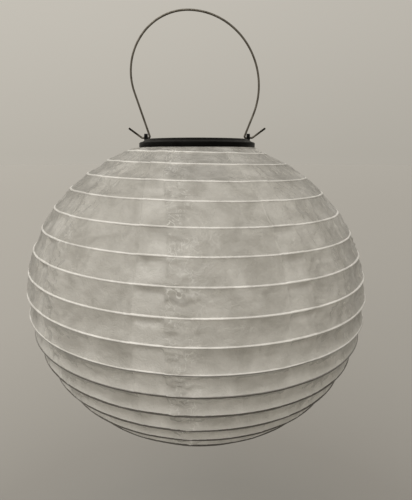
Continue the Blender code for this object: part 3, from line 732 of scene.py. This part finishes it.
def sleeve(name, circle, angles, index, radius, material, painted_shade_share):
    """Cloth drawn round one hoop, puckered all along. The last argument is how much painted shade darkens
    the sleeve: the lower hoops get more, and each sleeve's underside more again.
    """
    points, strip = [], []
    dark = between(SLEEVE_PAINTED_SHADE_ABOVE, SLEEVE_PAINTED_SHADE_BELOW, painted_shade_share)
    for angle in angles:
        centre = on_hoop(circle, angle, index)
        flat = Vector((centre.x, centre.y, 0)).normalized()
        lapped = doubled(angle)
        full = 1 + SLEEVE_FULLER_AT_SIDES * sin(angle) ** 8
        round_it = Vector((sin(angle), cos(angle), 0)) * circle[0] * PUCKERS_PER_M
        for k in range(SLEEVE_SIDES):
            turn = 2 * pi * k / SLEEVE_SIDES
            where = round_it + Vector((0, 0, index + k * 0.25))
            pucker = 1 + PUCKER * noise.noise(where) + PUCKER_ON_LAP * lapped
            out = cos(turn) * radius * pucker * full
            rise = sin(turn) * radius * min(SLEEVE_MOST_RISE, pucker * full)
            points.append(centre + flat * out + Vector((0, 0, rise)))
            # painted shade: darker on the lower hoops and on the sleeve's underside
            strip.append(min(1.0, max(0.0, dark - SLEEVE_PAINTED_SHADE_UNDERSIDE * sin(turn))))
    faces = grid_faces(len(angles), SLEEVE_SIDES, True, True)
    piece = make_piece(name, points, faces, material)
    keep_rest(piece, strip, [0.0] * len(points))
    return piece


def band_slant(circles, index):
    a, b = circles[index - 1], circles[index]
    return sqrt((a[0] - b[0]) ** 2 + (a[1] - b[1]) ** 2)


def place_band(piece, index):
    """Rides with the hoop below it."""
    last = index == RIB_COUNT + 1
    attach(piece, "bottom_hoop" if last else f"rib_{index:02d}")
    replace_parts(piece, f"shade_panel_{index:02d}")
    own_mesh(piece)


def make_shade():
    circles = hoop_circles()
    angles = shade_angles()
    last = RIB_COUNT + 1
    top = sleeve("top_hem", circles[0], angles, 0, HEM_RADIUS, SHADE_CLOTH, 0.0)
    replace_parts(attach(top, "cap"), "top_hoop")
    travelled = 0.0
    for index in range(1, last + 1):
        piece = band(index, circles, angles, travelled)
        travelled += band_slant(circles, index)
        if index < last:
            painted_shade_share = turned_under(circles[index][1], circles)
            name = f"rib_sleeve_{index:02d}"
            cover = sleeve(name, circles[index], angles, index, SLEEVE_RADIUS, SLEEVE_CLOTH, painted_shade_share)
            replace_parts(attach(cover, f"rib_{index:02d}"), f"rib_hoop_{index:02d}")
        else:
            cover = sleeve("bottom_hem", circles[last], angles, index, HEM_RADIUS, SHADE_CLOTH, 0.0)
            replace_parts(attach(cover, "bottom_hoop"), "bottom_hoop")
        place_band(piece, index)


# wires ----------------------------------------------------------------------------------------


def leg(side):
    """One end of the handle up to where its arc begins, and that arc's centre, radius and first angle."""
    radius = LOOP_RIGHT_RADIUS if side > 0 else LOOP_LEFT_RADIUS
    centre = Vector((LOOP_TOP_X, 0, LOOP_TOP_Z - radius))
    foot = Vector((side * LEG_FOOT_X, 0, HINGE_Z))
    reach = foot - centre
    touch = atan2(reach.z, reach.x) + side * acos(radius / reach.length)
    bend = Vector((side * TAIL_BEND_X, 0, HINGE_Z))
    tip = bend + Vector((side * cos(TAIL_RISE), 0, sin(TAIL_RISE))) * TAIL_LENGTH
    leg_top = centre + Vector((cos(touch), 0, sin(touch))) * radius
    return rounded([tip, bend, foot, leg_top], WIRE_BEND_RADIUS)[:-1], centre, radius, touch


def sweep(centre, radius, start, end):
    count = ceil(abs(end - start) / LOOP_STEP)
    angles = [start + (end - start) * k / count for k in range(count + 1)]
    return [centre + Vector((cos(a), 0, sin(a))) * radius for a in angles]


def handle_path():
    """The right leg, a wide arc up to the loop's top, a tighter one down from it, and the left leg."""
    right, right_centre, right_radius, right_touch = leg(1)
    left, left_centre, left_radius, left_touch = leg(-1)
    rising = sweep(right_centre, right_radius, right_touch, pi / 2)
    falling = sweep(left_centre, left_radius, pi / 2, left_touch % (2 * pi))
    return right + rising + falling[1:] + left[::-1]


def make_handle():
    points, faces = tube(handle_path(), WIRE_RADIUS, HANDLE_SIDES)
    piece = make_piece("wire_handle", points, faces, HANDLE_STEEL)
    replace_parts(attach(piece, "handle"), "handle_wire")


def make_expander():
    """The sprung wire that holds the shade open."""
    bar_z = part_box("expander")[0].z + EXPANDER_RADIUS
    right = [
        Vector((LEG_X, 0, LEG_TOP_Z)),
        Vector((LEG_X, 0, bar_z + EXPANDER_LEG_END)),
        Vector((EXPANDER_BAR_X, 0, bar_z + EXPANDER_KNEE)),
        Vector((EXPANDER_BAR_X, 0, bar_z)),
    ]
    left = [Vector((-p.x, 0, p.z)) for p in reversed(right)]
    path = rounded(right + left, EXPANDER_BEND_RADIUS)
    points, faces = tube(path, EXPANDER_RADIUS, EXPANDER_SIDES)
    piece = make_piece("sprung_wire", points, faces, HOOP_STEEL)
    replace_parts(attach(piece, "cap"), "expander")
    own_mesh(piece)


# cap ------------------------------------------------------------------------------------------


def make_cap():
    polished("cap_housing", BLACK_PLASTIC, 0.3 * MM)
    polished("cap_base", BLACK_PLASTIC, 0.2 * MM)
    polished("battery_door", BLACK_PLASTIC, 0.2 * MM)
    polished("switch_body", BLACK_PLASTIC, 0.12 * MM)
    polished("switch_slider", BLACK_PLASTIC, 0.15 * MM)
    polished("solar_cell", PHOTOVOLTAIC, 0.05 * MM)
    polished("panel_cover", RESIN, 0.15 * MM)
    polished("circuit_board", SOLDER_MASK, 0.1 * MM)
    polished("battery_cell", CELL_SLEEVE, 0.25 * MM)
    polished("battery_spring", NICKEL, 0.05 * MM)
    polished("battery_contact", NICKEL, 0.05 * MM)
    polished("led_lamp", LENS, 0.1 * MM)
    polished("led_diffuser", MILKY, 0.2 * MM)
    for k in (1, 2, 3):
        polished(f"cap_screw_{k}", HANDLE_STEEL, 0.08 * MM)


# room -----------------------------------------------------------------------------------------


def sideways(tree, across):
    """The room is a little darker towards +X: in the world's light, and painted as shade on the floor.
    across runs from -1 to 1.
    """
    share = add(tree, "MapRange", {0: across, 1: -1.0, 2: 1.0, 3: 1.0, 4: RIGHT_SIDE_DARKER})
    return share.outputs["Result"]


def make_floor():
    """A wide pale floor well below the hanging lantern, with painted shade: darkest beneath the lantern, a
    little lighter further off, and darker towards +X.
    """
    material, tree, shader = new_material("floor_paint")
    where = place(tree)
    distance = add(tree, "VectorMath", {0: where}, operation="LENGTH").outputs["Value"]
    near = math(tree, "DIVIDE", FLOOR_PAINTED_SHADE_REACH, math(tree, "MAXIMUM", distance, 0.3))
    # painted shade: darker under the lantern, lighter further off
    stops = (
        (0.0, (0.525, 0.511, 0.484)),
        (0.05, (0.494, 0.479, 0.452)),
        (0.58, (0.351, 0.339, 0.319)),
        (0.8, (0.325, 0.317, 0.300)),
    )
    x = add(tree, "SeparateXYZ", {0: where}).outputs["X"]
    across = math(tree, "DIVIDE", x, math(tree, "MAXIMUM", distance, 1.5))
    tone = mix(tree, 1.0, ramp(tree, near, stops), sideways(tree, across), "MULTIPLY")
    fill(tree, shader, Base_Color=tone, Roughness=0.9, Specular_IOR_Level=0.1)
    rim = [Vector((cos(a), sin(a), 0)) * FLOOR_RADIUS for a in np.linspace(0, 2 * pi, 97)[:-1]]
    floor = make_piece("floor", rim, [tuple(range(len(rim)))], material)
    floor.location = (0, 0, FLOOR_Z)


def sun(name, energy, spread, tilt, turn, colour):
    light = bpy.data.lights.new(name, "SUN")
    light.energy = energy
    light.angle = radians(spread)
    light.color = colour
    lamp = bpy.data.objects.new(name, light)
    lamp.rotation_euler = (radians(tilt), 0, radians(turn))
    lamp.location = (0, 0, 2)
    bpy.context.scene.collection.objects.link(lamp)


def make_light():
    """A soft overhead light, and a world lighter above than below."""
    sun("overhead", energy=1.5, spread=50, tilt=40, turn=-30, colour=(1.0, 0.985, 0.955))
    world = bpy.data.worlds.new("studio")
    bpy.context.scene.world = world
    world.use_nodes = True
    tree = world.node_tree
    parts = add(tree, "SeparateXYZ", {0: add(tree, "TexCoord").outputs["Generated"]}).outputs
    stops = ((0.0, (0.513, 0.483, 0.425)), (0.25, (0.591, 0.558, 0.495)), (1.0, (0.80, 0.76, 0.69)))
    colour = mix(tree, 1.0, ramp(tree, parts["Z"], stops), sideways(tree, parts["X"]), "MULTIPLY")
    tree.links.new(colour, tree.nodes["Background"].inputs["Color"])
    tree.nodes["Background"].inputs["Strength"].default_value = 1.0


def make_camera():
    data = bpy.data.cameras.new("camera")
    data.lens = CAMERA_LENS
    data.sensor_width = 36
    camera = bpy.data.objects.new("camera", data)
    camera.location = CAMERA_PLACE
    camera.rotation_euler = (pi / 2 - CAMERA_PITCH, 0, 0)
    bpy.context.scene.collection.objects.link(camera)
    bpy.context.scene.camera = camera


bpy.context.scene.view_settings.view_transform = "Standard"
noise.seed_set(CREASE_SEED)
make_camera()
make_handle()
make_shade()
make_expander()
make_cap()
make_floor()
make_light()
